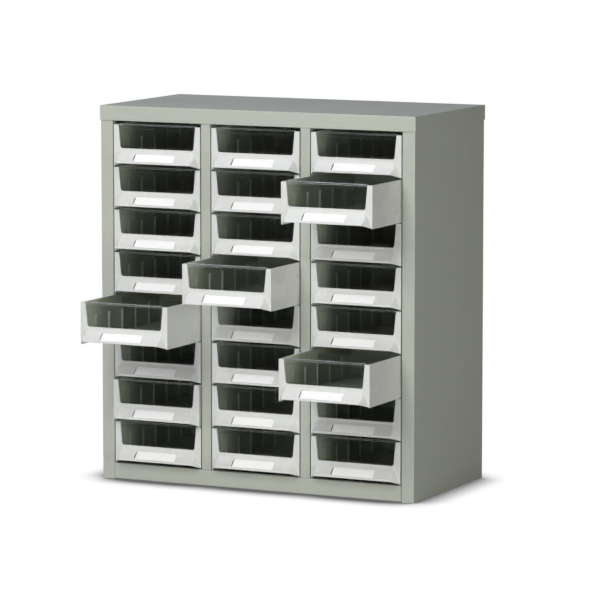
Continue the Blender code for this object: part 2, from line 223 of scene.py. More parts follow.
# Inside of a drawer: painted light near the front, painted shade deep inside, and the depths of the fade
INSIDE_NEAR_PAINTED_LIGHT = (0.85, 0.87, 0.74)
INSIDE_DEEP_PAINTED_SHADE = (0.38, 0.40, 0.33)
INSIDE_SHADE_FADE = (0.015, 0.080)
CLEAR_TINT = (0.92, 0.935, 0.925, 1.0)
EDGE_TINT = (0.80, 0.83, 0.81, 1.0)
CLEAR_BODY = (0.75, 0.78, 0.75, 1.0)
CARD_DARK = (0.90, 0.90, 0.895, 1.0)
CARD_LIGHT = (0.955, 0.955, 0.95, 1.0)


# ---------------------------------------------------------------- geometry helpers

def link(name, mesh):
    """Add an object that shows the mesh."""
    obj = bpy.data.objects.new(name, mesh)
    bpy.context.scene.collection.objects.link(obj)
    return obj


def lofted(name, rings):
    """Closed solid through rings of equally many points, with a cap at both ends."""
    bm = bmesh.new()
    loops = [[bm.verts.new(point) for point in ring] for ring in rings]
    for low, high in zip(loops, loops[1:]):
        for index in range(len(low)):
            after = (index + 1) % len(low)
            bm.faces.new((low[index], low[after], high[after], high[index]))
    bm.faces.new(loops[0])
    bm.faces.new(loops[-1])
    bmesh.ops.recalc_face_normals(bm, faces=bm.faces)
    mesh = bpy.data.meshes.new(name)
    bm.to_mesh(mesh)
    bm.free()
    return mesh


def box_mesh(name, low, high):
    """Box between two corners."""
    rings = [
        [(low[0], low[1], z), (high[0], low[1], z), (high[0], high[1], z), (low[0], high[1], z)]
        for z in (low[2], high[2])
    ]
    return lofted(name, rings)


def prism_mesh(name, outline, low, high):
    """Extrude a side view of (forward, up) points across the drawer, from low to high."""
    return lofted(name, [[(x, -reach, z) for reach, z in outline] for x in (low, high)])


def arc(centre, radius, start, end, segments):
    """Points along an arc, both ends included; angles in degrees."""
    points = []
    for step in range(segments + 1):
        angle = math.radians(start + (end - start) * step / segments)
        points.append((centre[0] + radius * math.cos(angle), centre[1] + radius * math.sin(angle)))
    return points


def rounded_rectangle(low, high, radius, segments=4):
    """Corners of a flat rectangle, each replaced by an arc."""
    centres = (
        ((high[0] - radius, high[1] - radius), 0),
        ((low[0] + radius, high[1] - radius), 90),
        ((low[0] + radius, low[1] + radius), 180),
        ((high[0] - radius, low[1] + radius), 270),
    )
    points = []
    for centre, start in centres:
        points += arc(centre, radius, start, start + 90, segments)
    return points


def interpolated(table, x):
    """Straight-line value at x in a table of (x, value) pairs, running on past both ends."""
    pairs = list(zip(table, table[1:]))
    inside = [pair for pair in pairs if pair[0][0] <= x]
    (x0, y0), (x1, y1) = inside[-1] if inside else pairs[0]
    return y0 + (y1 - y0) * (x - x0) / (x1 - x0)


def smooth_min(a, b, radius):
    """The smaller of two values, with a rounded change from one to the other."""
    share = max(radius - abs(a - b), 0) / radius
    return min(a, b) - share * share * radius / 4


def shaped(name, base, tools):
    """The base mesh after each tool mesh in turn has been cut from it or joined to it."""
    obj = link(name, base)
    helpers = []
    for operation, mesh in tools:
        tool = link(mesh.name, mesh)
        helpers.append(tool)
        modifier = obj.modifiers.new(mesh.name, "BOOLEAN")
        modifier.operation = operation
        modifier.solver = "EXACT"
        modifier.object = tool
    depsgraph = bpy.context.evaluated_depsgraph_get()
    mesh = bpy.data.meshes.new_from_object(obj.evaluated_get(depsgraph))
    for helper in [obj, *helpers]:
        bpy.data.objects.remove(helper)
    finished(mesh)
    mesh.name = name
    return mesh


def finished(mesh):
    """Weld doubled points and shade the mesh smooth between its sharp edges."""
    bm = bmesh.new()
    bm.from_mesh(mesh)
    bmesh.ops.remove_doubles(bm, verts=bm.verts, dist=WELD_DISTANCE)
    bmesh.ops.dissolve_degenerate(bm, edges=bm.edges, dist=WELD_DISTANCE)
    bm.to_mesh(mesh)
    bm.free()
    mesh.shade_smooth()
    mesh.set_sharp_from_angle(angle=SMOOTH_ANGLE)
    obj = link("shading", mesh)
    normals = obj.modifiers.new("normals", "WEIGHTED_NORMAL")
    normals.keep_sharp = True
    depsgraph = bpy.context.evaluated_depsgraph_get()
    weighted = bpy.data.meshes.new_from_object(obj.evaluated_get(depsgraph))
    corner_normals = [loop.normal.copy() for loop in weighted.loops]
    mesh.normals_split_custom_set(corner_normals)
    bpy.data.objects.remove(obj)
    bpy.data.meshes.remove(weighted)


# ---------------------------------------------------------------- drawer tub

class Tub:
    """Sizes of the drawer tub, read from its CAD box."""

    def __init__(self, node):
        low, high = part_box(node)
        self.half = (high.x - low.x) / 2
        self.length = high.y - low.y - PULL_REACH
        self.height = high.z - low.z
        self.inner = self.half - WALL


def front_reach(tub, x, z):
    """How far the drawer front stands forward of its plane at a point, with rounded outer edges."""
    away = abs(x)
    cheek = (tub.half - interpolated(CHEEK_INSETS, z) - away) / math.tan(CHEEK_ANGLE)
    lip = smooth_min(interpolated(PULL_PROFILE, z), cheek, CHEEK_FILLET)
    foot = PULL_FOOT_Z * min(1, (tub.half - away) / (tub.half - PULL_FOOT_HALF_WIDTH))
    lip = smooth_min(lip, (z - foot) * UNDERSIDE_STEEPNESS, ROOT_FILLET)
    reach = -smooth_min(-lip, 0, ROOT_FILLET)
    for beyond, radius in (
        (away - tub.half, SIDE_CORNER_RADIUS),
        (z - tub.height, RIM_RADIUS),
        (-z, RIM_RADIUS),
    ):
        over = max(0, min(radius, beyond + radius))
        reach -= radius - math.sqrt(radius * radius - over * over)
    return reach


def spaced(low, high, step):
    """Even steps from low to high, both ends included."""
    count = max(1, round((high - low) / step))
    return [low + (high - low) * index / count for index in range(count + 1)]


def rounding_steps(edge, radius):
    """Places where a rounded edge is sampled, from the start of the rounding to the edge."""
    return [edge - radius * (1 - math.sin(math.radians(angle))) for angle in (0, 25, 50, 72, 90)]


def front_columns(tub):
    """Places across the front: wide steps in the middle and narrow ones over the cheeks."""
    half = spaced(0, 0.052, 0.0065)
    half += spaced(0.052, tub.half - SIDE_CORNER_RADIUS, 0.0009)[1:]
    half += rounding_steps(tub.half, SIDE_CORNER_RADIUS)[1:]
    return [-x for x in reversed(half[1:])] + half


def front_rows(tub):
    """Heights up the front: narrow steps over the pull lip and wide ones up the posts."""
    rows = [tub.height - z for z in reversed(rounding_steps(tub.height, RIM_RADIUS))]
    rows += spaced(RIM_RADIUS, FLOOR_UNDERSIDE, 0.0008)[1:]
    rows += spaced(FLOOR_UNDERSIDE, PULL_PROFILE[0][0], 0.0002)[1:]
    for (low, _), (high, _) in zip(PULL_PROFILE, PULL_PROFILE[1:]):
        rows += spaced(low, high, 0.0009)[1:]
    rows += spaced(rows[-1], tub.height - RIM_RADIUS, 0.008)[1:]
    rows += rounding_steps(tub.height, RIM_RADIUS)[1:]
    return rows


def tub_block(tub):
    """Solid outside of the tub: the moulded front surface, run back to the rear."""
    columns = front_columns(tub)
    rows = front_rows(tub)
    bm = bmesh.new()
    grid = [[bm.verts.new((x, -front_reach(tub, x, z), z)) for x in columns] for z in rows]
    for low, high in zip(grid, grid[1:]):
        for index in range(len(columns) - 1):
            bm.faces.new((low[index], low[index + 1], high[index + 1], high[index]))
    rim = [*grid[0], *[row[-1] for row in grid[1:-1]], *reversed(grid[-1])]
    rim += [row[0] for row in reversed(grid[1:-1])]
    last = rim
    for angle in (0, 30, 60, 90):
        y = tub.length - SIDE_CORNER_RADIUS * (1 - math.sin(math.radians(angle)))
        inset = SIDE_CORNER_RADIUS * (1 - math.cos(math.radians(angle)))
        ring = []
        for vertex in rim:
            x = max(-tub.half + inset, min(tub.half - inset, vertex.co.x))
            z = max(inset, min(tub.height - inset, vertex.co.z))
            ring.append(bm.verts.new((x, y, z)))
        for index in range(len(ring)):
            after = (index + 1) % len(ring)
            bm.faces.new((last[index], last[after], ring[after], ring[index]))
        last = ring
    bm.faces.new(last)
    bmesh.ops.remove_doubles(bm, verts=bm.verts, dist=WELD_DISTANCE)
    bmesh.ops.recalc_face_normals(bm, faces=bm.faces)
    mesh = bpy.data.meshes.new("tub_block")
    bm.to_mesh(mesh)
    bm.free()
    return mesh


def cavity_mesh(tub):
    """Inside of the tub, with round corners, a fillet at the floor and a rounded rim."""
    levels = []
    for angle in (0, 30, 60, 90):
        rise, inset = 1 - math.cos(math.radians(angle)), 1 - math.sin(math.radians(angle))
        levels.append((FLOOR_TOP + FLOOR_FILLET * rise, FLOOR_FILLET * inset))
    for angle in (0, 30, 60, 85):
        drop, flare = 1 - math.sin(math.radians(angle)), 1 - math.cos(math.radians(angle))
        levels.append((tub.height - RIM_RADIUS * drop, -RIM_RADIUS * flare))
    levels.append((tub.height + CUT_MARGIN, -RIM_RADIUS))
    rings = []
    for z, inset in levels:
        low = (-tub.inner + inset, WALL + inset)
        high = (tub.inner - inset, tub.length - WALL - inset)
        outline = rounded_rectangle(low, high, CAVITY_RADIUS, 5)
        rings.append([(x, y, z) for x, y in outline])
    return lofted("cavity", rings)


def opening_outline(tub, spread, top_z):
    """Window opening as (across, up) points, moved outwards by spread."""
    lean = (TOP_HALF_WIDTH - SILL_HALF_WIDTH) / (tub.height - SILL_Z)
    sill = SILL_Z - spread
    half = SILL_HALF_WIDTH + spread
    radius = OPENING_RADIUS + spread
    right = arc((half - radius, sill + radius), radius, -90, 0, 6)
    right = [(x + lean * (z - sill), z) for x, z in right]
    right.append((half + lean * (top_z - sill), top_z))
    return right + [(-x, z) for x, z in reversed(right)]


def opening_mesh(tub):
    """Window opening, flared to a round front edge."""
    rings = []
    for y, spread in (
        (-CUT_MARGIN, OPENING_CHAMFER * 1.2),
        (0.0, OPENING_CHAMFER),
        (OPENING_CHAMFER * 0.1, OPENING_CHAMFER * 0.62),
        (OPENING_CHAMFER * 0.4, OPENING_CHAMFER * 0.2),
        (OPENING_CHAMFER, 0.0),
        (WALL + OVERCUT, 0.0),
    ):
        outline = opening_outline(tub, spread, tub.height + CUT_MARGIN)
        rings.append([(x, y, z) for x, z in outline])
    return lofted("window_opening", rings)


def pull_hollow_mesh(tub):
    """Hollow behind the pull lip, about a wall's thickness inside its skin."""
    outline = [(-WALL - OVERCUT, FLOOR_TOP), *HOLLOW_PROFILE, (-WALL - OVERCUT, HOLLOW_TOP_Z)]
    half = tub.half - CHEEK_INSETS[-2][1] - PULL_REACH * math.tan(CHEEK_ANGLE) + WALL
    return prism_mesh("pull_hollow", outline, -half, half)


def on_chord(share, sunk):
    """Point (forward, up) at a share of the way down the label's chord, sunk below it."""
    run = CHORD_FOOT[0] - CHORD_TOP[0]
    drop = CHORD_TOP[1] - CHORD_FOOT[1]
    length = math.hypot(run, drop)
    return (
        CHORD_TOP[0] + run * share - drop / length * sunk,
        CHORD_TOP[1] - drop * share - run / length * sunk,
    )


def chord_length():
    """Height of the label pocket, measured down the slope."""
    return math.hypot(CHORD_FOOT[0] - CHORD_TOP[0], CHORD_TOP[1] - CHORD_FOOT[1])


def sunk_mesh(name, left, right, share, depth):
    """Block sunk square into the label's chord, over the middle share of its length."""
    near = (1 - share) / 2
    outline = [
        on_chord(near, depth),
        on_chord(near, -CUT_MARGIN / 2),
        on_chord(1 - near, -CUT_MARGIN / 2),
        on_chord(1 - near, depth),
    ]
    return prism_mesh(name, outline, left, right)


def ribs_mesh(tub):
    """Pairs of thin ribs that hold a divider, with heads that flare apart."""
    straight = RIB_TOP_Z - RIB_FLARE_HEIGHT
    rib = [
        (0, FLOOR_TOP - OVERCUT),
        (0, straight),
        (RIB_FLARE * 0.35, straight + RIB_FLARE_HEIGHT * 0.5),
        (RIB_FLARE, RIB_TOP_Z - RIB_THICKNESS * 0.3),
        (RIB_FLARE + RIB_THICKNESS * 0.4, RIB_TOP_Z),
        (RIB_FLARE + RIB_THICKNESS, RIB_TOP_Z - RIB_THICKNESS * 0.5),
        (RIB_THICKNESS + RIB_FLARE * 0.35, straight + RIB_FLARE_HEIGHT * 0.4),
        (RIB_THICKNESS, straight),
        (RIB_THICKNESS, FLOOR_TOP - OVERCUT),
    ]
    bm = bmesh.new()
    for depth in SLOT_DEPTHS:
        for direction in (-1, 1):
            for side in (-1, 1):
                low, high = sorted((side * (tub.inner - RIB_REACH), side * (tub.inner + OVERCUT)))
                start = depth + direction * SLOT_WIDTH / 2
                outline = [(-(start + direction * y), z) for y, z in rib]
                mesh = prism_mesh("rib", outline, low, high)
                bm.from_mesh(mesh)
                bpy.data.meshes.remove(mesh)
    mesh = bpy.data.meshes.new("ribs")
    bm.to_mesh(mesh)
    bm.free()
    return mesh


def in_hollow(tub, point):
    """Whether a point of the tub's skin lies inside its cavity, below the rim."""
    across = abs(point.x) < tub.inner + FACE_MARGIN
    along = WALL - FACE_MARGIN < point.y < tub.length - WALL + FACE_MARGIN
    return across and along and FLOOR_TOP - FACE_MARGIN < point.z < tub.height - RIM_RADIUS


def on_rib(tub, point):
    """Whether a point inside the tub lies on one of the ribs that hold a divider."""
    reach = SLOT_WIDTH / 2 + RIB_THICKNESS + RIB_FLARE + FACE_MARGIN
    beside = tub.inner - RIB_REACH - FACE_MARGIN < abs(point.x) < tub.inner - FACE_MARGIN
    return beside and point.z < RIB_TOP_Z and any(abs(point.y - depth) < reach for depth in SLOT_DEPTHS)


def tub_mesh(tub, outside, inside):
    """The whole moulded tub, with the inside finish (painted light at the front, painted shade deeper
    in) on every face of the cavity but the ribs.
    """
    corner = tub.half - WALL / 2
    foot = (PULL_FOOT_HALF_WIDTH, PULL_FOOT_Z - FOOT_CLEARANCE)
    under_front = [(corner, -CUT_MARGIN), (corner, 0), foot]
    under_front += [(-x, z) for x, z in reversed(under_front)]
    tools = [
        ("DIFFERENCE", cavity_mesh(tub)),
        ("DIFFERENCE", pull_hollow_mesh(tub)),
        ("DIFFERENCE", opening_mesh(tub)),
        ("DIFFERENCE", box_mesh(
            "under_floor",
            (-tub.inner, WALL, -CUT_MARGIN),
            (tub.inner, tub.length - WALL, FLOOR_UNDERSIDE))),
        ("DIFFERENCE", lofted(
            "under_front", [[(x, y, z) for x, z in under_front] for y in (-OVERCUT, WALL + OVERCUT)])),
        ("DIFFERENCE", box_mesh(
            "stop_edge",
            (-tub.inner, tub.length - 2 * WALL, -CUT_MARGIN),
            (tub.inner, tub.length + CUT_MARGIN, STOP_EDGE_Z))),
        ("DIFFERENCE", sunk_mesh(
            "label_pocket", -POCKET_HALF_WIDTH, POCKET_HALF_WIDTH, POCKET_SHARE, POCKET_DEPTH)),
        ("DIFFERENCE", sunk_mesh(
            "label_slit", -POCKET_HALF_WIDTH - OVERCUT, -POCKET_HALF_WIDTH - OVERCUT + SLIT_WIDTH,
            SLIT_LENGTH / chord_length(), SLIT_DEPTH)),
        ("UNION", ribs_mesh(tub)),
    ]
    mesh = shaped("drawer_tub_detailed", tub_block(tub), tools)
    mesh.materials.clear()
    mesh.materials.append(outside)
    mesh.materials.append(inside)
    for face in mesh.polygons:
        hollow = in_hollow(tub, face.center) and not on_rib(tub, face.center)
        face.material_index = 1 if hollow else 0
    return mesh


# ---------------------------------------------------------------- window, divider and label

def window_mesh(tub, clear, edge):
    """Clear pane with a sloping rim inside the opening, and a round bead between the posts."""
    front = WALL + PANE_GAP
    back = front + PANE_THICKNESS
    pane = box_mesh(
        "pane", (-PANE_HALF_WIDTH, front, PANE_BOTTOM_Z), (PANE_HALF_WIDTH, back, PANE_TOP_Z))
    rings = []
    for y, inset in (
        (-CUT_MARGIN, PANE_RECESS_INSET),
        (front, PANE_RECESS_INSET),
        (front + PANE_RECESS_DEPTH, PANE_RECESS_INSET + PANE_RECESS_SLOPE),
    ):
        outline = opening_outline(tub, -inset, PANE_RECESS_TOP_Z - inset)
        rings.append([(x, y, z) for x, z in outline])
    recess = lofted("pane_recess", rings)
    middle = (front + BEAD_RADIUS, BEAD_TOP_Z - BEAD_RADIUS)
    half = TOP_HALF_WIDTH - BEAD_SIDE_GAP
    ends = [(math.sin(math.radians(angle)), math.cos(math.radians(angle))) for angle in (0, 30, 60, 85)]
    stations = [(half - BEAD_RADIUS * (1 - along), wide) for along, wide in ends]
    rings = []
    for x, wide in [(-x, wide) for x, wide in reversed(stations)] + stations:
        circle = arc(middle, BEAD_RADIUS * wide, 0, 360, 2 * BEAD_SEGMENTS)[:-1]
        rings.append([(x, y, z) for y, z in circle])
    bead = lofted("bead", rings)
    mesh = shaped("drawer_window_detailed", pane, [("DIFFERENCE", recess), ("UNION", bead)])
    mesh.materials.clear()
    mesh.materials.append(clear)
    mesh.materials.append(edge)
    for face in mesh.polygons:
        on_bead = face.center.z > PANE_TOP_Z - BEAD_RADIUS and abs(face.normal.x) < 0.9
        sloping = abs(face.normal.y) < 0.95 and face.center.y < front + PANE_RECESS_DEPTH
        off_sides = abs(face.center.x) < PANE_HALF_WIDTH - OVERCUT
        off_foot = face.center.z > PANE_BOTTOM_Z + OVERCUT
        if off_sides and off_foot and (on_bead or sloping):
            face.material_index = 1
    return mesh


def divider_mesh(tub, clear, edge):
    """Clear plate that stands across the tub, with round upper corners and eased edges."""
    half = tub.inner - DIVIDER_SIDE_GAP
    foot = FLOOR_TOP + FLOOR_FILLET
    rings = []
    for y, inset in (
        (0, DIVIDER_CHAMFER),
        (DIVIDER_CHAMFER, 0),
        (DIVIDER_THICKNESS - DIVIDER_CHAMFER, 0),
        (DIVIDER_THICKNESS, DIVIDER_CHAMFER),
    ):
        low = (-half + inset, foot + inset)
        high = (half - inset, DIVIDER_TOP_Z - inset)
        outline = rounded_rectangle(low, high, DIVIDER_CORNER, 5)
        rings.append([(x, y - DIVIDER_THICKNESS / 2, z) for x, z in outline])
    mesh = lofted("drawer_divider", rings)
    finished(mesh)
    mesh.materials.append(clear)
    mesh.materials.append(edge)
    for face in mesh.polygons:
        if abs(face.normal.y) < 0.9:
            face.material_index = 1
    return mesh


def card_mesh(paper):
    """Label card, a little bowed, lying in its pocket."""
    left = -POCKET_HALF_WIDTH + SLIT_WIDTH - OVERCUT + CARD_MARGIN
    right = POCKET_HALF_WIDTH - CARD_MARGIN
    height = chord_length() - 2 * CARD_MARGIN
    bm = bmesh.new()
    bmesh.ops.create_grid(bm, x_segments=18, y_segments=6, size=0.5)
    corners = [vertex for vertex in bm.verts if len(vertex.link_edges) == 2]
    bmesh.ops.scale(bm, vec=(right - left, height, 1), verts=bm.verts)
    bmesh.ops.bevel(bm, geom=corners, offset=CARD_CORNER, segments=2, profile=0.5, affect="VERTICES")
    sunk = CARD_THICKNESS + CARD_BOW
    for vertex in bm.verts:
        across = vertex.co.x / (right - left) * 2
        vertex.co.z = CARD_BOW * (1 - across * across)
    skin = list(bm.faces)
    extruded = bmesh.ops.extrude_face_region(bm, geom=skin)
    moved = [item for item in extruded["geom"] if isinstance(item, bmesh.types.BMVert)]
    bmesh.ops.translate(bm, verts=moved, vec=(0, 0, CARD_THICKNESS))
    top = on_chord(0.0, sunk)
    foot = on_chord(1.0, sunk)
    middle = Vector(((left + right) / 2, -(top[0] + foot[0]) / 2, (top[1] + foot[1]) / 2))
    tilt = math.atan2(top[1] - foot[1], foot[0] - top[0])
    placed = Matrix.Translation(middle) @ Matrix.Rotation(tilt, 4, "X")
    bmesh.ops.transform(bm, matrix=placed, verts=bm.verts)
    bmesh.ops.recalc_face_normals(bm, faces=bm.faces)
    mesh = bpy.data.meshes.new("label_card")
    bm.to_mesh(mesh)
    bm.free()
    finished(mesh)
    mesh.materials.append(paper)
    return mesh


# ---------------------------------------------------------------- materials

class Shading:
    """Small builder for one material's nodes."""

    def __init__(self, name):
        self.material = bpy.data.materials.new(name)
        self.material.use_nodes = True
        self.tree = self.material.node_tree
        self.tree.nodes.clear()
        self.output = self.tree.nodes.new("ShaderNodeOutputMaterial")

    def add(self, kind, inputs=None, **settings):
        """New node; an input that is a socket is linked, and any other is set."""
        node = self.tree.nodes.new(kind)
        for key, value in settings.items():
            setattr(node, key, value)
        for key, value in (inputs or {}).items():
            if isinstance(value, bpy.types.NodeSocket):
                self.tree.links.new(value, node.inputs[key])
            else:
                node.inputs[key].default_value = value
        return node

    def place(self):
        """Coordinates on the object, shifted by an amount of each object's own."""
        coordinates = self.add("ShaderNodeTexCoord")
        info = self.add("ShaderNodeObjectInfo")
        inputs = {0: coordinates.outputs["Object"], 1: info.outputs["Random"]}
        return self.add("ShaderNodeVectorMath", inputs).outputs[0]

    def noise(self, place, scale, detail=3.0, roughness=0.5):
        """Soft noise at features per metre."""
        inputs = {"Vector": place, "Scale": scale, "Detail": detail, "Roughness": roughness}
        return self.add("ShaderNodeTexNoise", inputs).outputs[0]

    def stretched(self, place, factors):
        """Coordinates scaled along each axis."""
        return self.add("ShaderNodeMapping", {"Vector": place, "Scale": factors}).outputs[0]

    def spread(self, value, low, high, to_low, to_high):
        """Map a value from one range to another, and keep it there."""
        inputs = {"Value": value, "From Min": low, "From Max": high, "To Min": to_low, "To Max": to_high}
        return self.add("ShaderNodeMapRange", inputs).outputs[0]

    def mixed(self, share, a, b):
        """Mix two colours."""
        node = self.add("ShaderNodeMix", data_type="RGBA")
        for socket, value in ((node.inputs[0], share), (node.inputs[6], a), (node.inputs[7], b)):
            if isinstance(value, bpy.types.NodeSocket):
                self.tree.links.new(value, socket)
            else:
                socket.default_value = value
        return node.outputs[2]

    def times(self, a, b):
        """Product of two values."""
        return self.add("ShaderNodeMath", {0: a, 1: b}, operation="MULTIPLY").outputs[0]

    def edge_mask(self, radius, low, high):
        """Share of wear at outer and inner edges, from how a rounded normal leaves the true one."""
        soft = self.add("ShaderNodeBevel", {"Radius": radius}, samples=4)
        true = self.add("ShaderNodeNewGeometry")
        pair = {0: soft.outputs[0], 1: true.outputs["Normal"]}
        dot = self.add("ShaderNodeVectorMath", pair, operation="DOT_PRODUCT")
        return self.spread(dot.outputs["Value"], high, low, 0.0, 1.0)

    def bump(self, height, strength, distance, normal=None):
        """Surface normal disturbed by a height."""
        inputs = {"Height": height, "Strength": strength, "Distance": distance}
        if normal is not None:
            inputs["Normal"] = normal
        return self.add("ShaderNodeBump", inputs).outputs[0]

    def finish(self, shader):
        """Send a shader to the output."""
        self.tree.links.new(shader, self.output.inputs["Surface"])
        return self.material


def shade(color, factor):
    """A colour made lighter or darker, with full alpha."""
    return (*[channel * factor for channel in color], 1.0)


def painted_steel():
    """Stove-enamelled sheet: slight orange peel, uneven sheen, and rubbed edges."""
    s = Shading("painted_steel_finish")
    place = s.place()
    cloud = s.spread(s.noise(place, 5.0, 4.0), 0.3, 0.7, 0.0, 1.0)
    speck = s.spread(s.noise(place, 700.0, 2.0), 0.35, 0.65, 0.0, 1.0)
    base = s.mixed(cloud, shade(PAINT, 0.97), shade(PAINT, 1.02))
    base = s.mixed(s.times(speck, 0.35), base, shade(PAINT, 0.93))
    patches = s.spread(s.noise(place, 60.0, 5.0), 0.5, 0.62, 0.0, 0.45)
    rubbed = s.times(s.edge_mask(0.0012, 0.80, 0.97), patches)
    base = s.mixed(rubbed, base, BARE_EDGE)
    soft = s.add("ShaderNodeBevel", {"Radius": 0.0012}, samples=4)
    peel = s.bump(s.noise(place, 900.0, 2.0), 0.06, 0.0003, soft.outputs[0])
    dents = s.bump(s.noise(place, 14.0, 2.0), 0.06, 0.002, peel)
    shader = s.add("ShaderNodeBsdfPrincipled", {
        "Base Color": base,
        "Roughness": s.spread(s.noise(place, 22.0, 4.0), 0.3, 0.7, 0.36, 0.46),
        "Normal": dents,
    })
    return s.finish(shader.outputs[0])


def moulded_plastic(name, color, gloss, painted_shade_color=None):
    """Injection-moulded plastic: faint flow clouds, fine scuffs, and softened edges.

    With a painted shade colour, the plastic darkens to it from the front of the drawer backwards:
    painted shade for the light that falls off deep inside.
    """
    s = Shading(name)
    place = s.place()
    flow = s.spread(s.noise(s.stretched(place, (1.0, 0.4, 1.0)), 18.0, 4.0), 0.3, 0.7, 0.0, 1.0)
    base = s.mixed(flow, shade(color, 0.992), shade(color, 1.006))
    if painted_shade_color is not None:
        # Painted shade: the colour gets darker with depth inside the drawer.
        coordinates = s.add("ShaderNodeTexCoord").outputs["Object"]
        inward = s.add("ShaderNodeSeparateXYZ", {0: coordinates}).outputs["Y"]
        base = s.mixed(s.spread(inward, *INSIDE_SHADE_FADE, 0.0, 1.0), base, shade(painted_shade_color, 1.0))
    grime = s.spread(s.noise(place, 60.0, 3.0, 0.6), 0.5, 0.9, 0.0, 0.12)
    base = s.mixed(grime, base, shade(color, 0.90))
    soft = s.add("ShaderNodeBevel", {"Radius": 0.0005}, samples=4)
    scuffs = s.noise(s.stretched(place, (1.0, 0.12, 0.6)), 260.0, 2.0)
    texture = s.bump(scuffs, 0.02, 0.0002, soft.outputs[0])
    sink = s.bump(s.noise(place, 30.0, 2.0), 0.012, 0.001, texture)
    shader = s.add("ShaderNodeBsdfPrincipled", {
        "Base Color": base,
        "Roughness": s.spread(s.noise(place, 9.0, 2.0), 0.3, 0.7, gloss - 0.02, gloss + 0.03),
        "Normal": sink,
    })
    return s.finish(shader.outputs[0])


def clear_plastic(name, tint, least_gloss, haze):
    """Thin clear plastic, more of a mirror at a grazing angle, with smudges and hairline scratches."""
    s = Shading(name)
    place = s.place()
    smudge = s.noise(place, 55.0, 5.0, 0.6)
    scratch = s.noise(s.stretched(place, (0.25, 1.0, 3.0)), 420.0, 3.0)
    normal = s.bump(scratch, 0.04, 0.0002)
    facing = s.add("ShaderNodeLayerWeight", {"Blend": 0.5, "Normal": normal}).outputs["Facing"]
    grazing = s.add("ShaderNodeMath", {0: facing, 1: 5.0}, operation="POWER").outputs[0]
    rise = {0: grazing, 1: 1.0 - least_gloss, 2: least_gloss}
    mirror = s.add("ShaderNodeMath", rise, operation="MULTIPLY_ADD").outputs[0]
    through = s.add("ShaderNodeBsdfTransparent", {"Color": tint})
    gloss = s.add("ShaderNodeBsdfGlossy", {
        "Color": WHITE,
        "Roughness": s.spread(smudge, 0.35, 0.7, 0.05, 0.16),
        "Normal": normal,
    })
    body = s.add("ShaderNodeBsdfDiffuse", {"Color": CLEAR_BODY})
    cloud = s.spread(smudge, 0.35, 0.75, haze * 0.6, haze * 1.4)
    cloudy = s.add("ShaderNodeMixShader", {0: cloud, 1: through.outputs[0], 2: body.outputs[0]})
    glassy = s.add("ShaderNodeMixShader", {0: mirror, 1: cloudy.outputs[0], 2: gloss.outputs[0]})
    return s.finish(glassy.outputs[0])


def card_paper():
    """White card with faint fibres."""
    s = Shading("label_card_finish")
    place = s.place()
    fibres = s.noise(s.stretched(place, (0.3, 1.0, 1.0)), 1500.0, 4.0)
    base = s.mixed(s.spread(fibres, 0.35, 0.65, 0.0, 1.0), CARD_DARK, CARD_LIGHT)
    shader = s.add("ShaderNodeBsdfPrincipled", {
        "Base Color": base,
        "Roughness": s.spread(s.noise(place, 90.0), 0.3, 0.7, 0.5, 0.62),
        "Normal": s.bump(fibres, 0.08, 0.0001),
    })
    return s.finish(shader.outputs[0])


# ---------------------------------------------------------------- assembly

def add_drawers():
    """Detailed tub, window, divider and label card on every drawer."""
    plastic = moulded_plastic("drawer_plastic_finish", PLASTIC, 0.27)
    # The inside finish paints light near the front of a drawer and shade deeper in.
    inside = moulded_plastic("drawer_inside_finish", INSIDE_NEAR_PAINTED_LIGHT, 0.34, INSIDE_DEEP_PAINTED_SHADE)
    clear = clear_plastic("clear_plastic_finish", CLEAR_TINT, 0.035, 0.004)
    edge = clear_plastic("clear_edge_finish", EDGE_TINT, 0.20, 0.05)
    tub = Tub("drawer_r1_c1_tub")
    tub_shape = tub_mesh(tub, plastic, inside)
    window_shape = window_mesh(tub, clear, edge)
    divider_shape = divider_mesh(tub, clear, edge)
    card_shape = card_mesh(card_paper())
    divider_place = Vector((0, SLOT_DEPTHS[DIVIDER_SLOT], 0))
    for row in range(1, ROWS + 1):
        for column in range(1, COLUMNS + 1):
            body = f"drawer_r{row}_c{column}"
            low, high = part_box(f"{body}_tub")
            origin = Vector(((low.x + high.x) / 2, low.y + PULL_REACH, low.z))
            pieces = (
                ("tub", tub_shape, origin, "drawer_plastic"),
                ("window", window_shape, origin, "clear_plastic"),
                ("divider", divider_shape, origin + divider_place, "clear_plastic"),
                ("label", card_shape, origin, None),
            )
            for kind, mesh, place, slot in pieces:
                piece = link(f"{kind}_r{row}_c{column}", mesh)
                piece.location = place
                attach(piece, body)
                if kind in ("tub", "window"):
                    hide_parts(f"{body}_{kind}")


def paint_steel():
    """Give every sheet-metal node of the CAD its paint."""
    paint = painted_steel()
    for name in frame["record"]["behaviour"]["bodies"]["cabinet"]:
        for slot in frame["nodes"][name].material_slots:
            slot.material = paint


def add_camera():
    """Camera at the viewing angle of the picture."""
    a, e = CAMERA_AZIMUTH, CAMERA_ELEVATION
    right = Vector((math.cos(a), math.sin(a), 0))
    back = Vector((math.sin(a) * math.cos(e), -math.cos(a) * math.cos(e), math.sin(e)))
    up = back.cross(right)
    target = Vector((0, 0, CAMERA_TARGET_HEIGHT)) + right * CAMERA_TARGET_RIGHT + up * CAMERA_TARGET_UP
    data = bpy.data.cameras.new("camera")
    data.lens = CAMERA_LENS
    data.sensor_width = CAMERA_SENSOR
    camera = bpy.data.objects.new("camera", data)
    bpy.context.scene.collection.objects.link(camera)
    camera.matrix_world = Matrix.Translation(target + back * CAMERA_DISTANCE) @ Matrix(
        (right, up, back)).transposed().to_4x4()
    bpy.context.scene.camera = camera


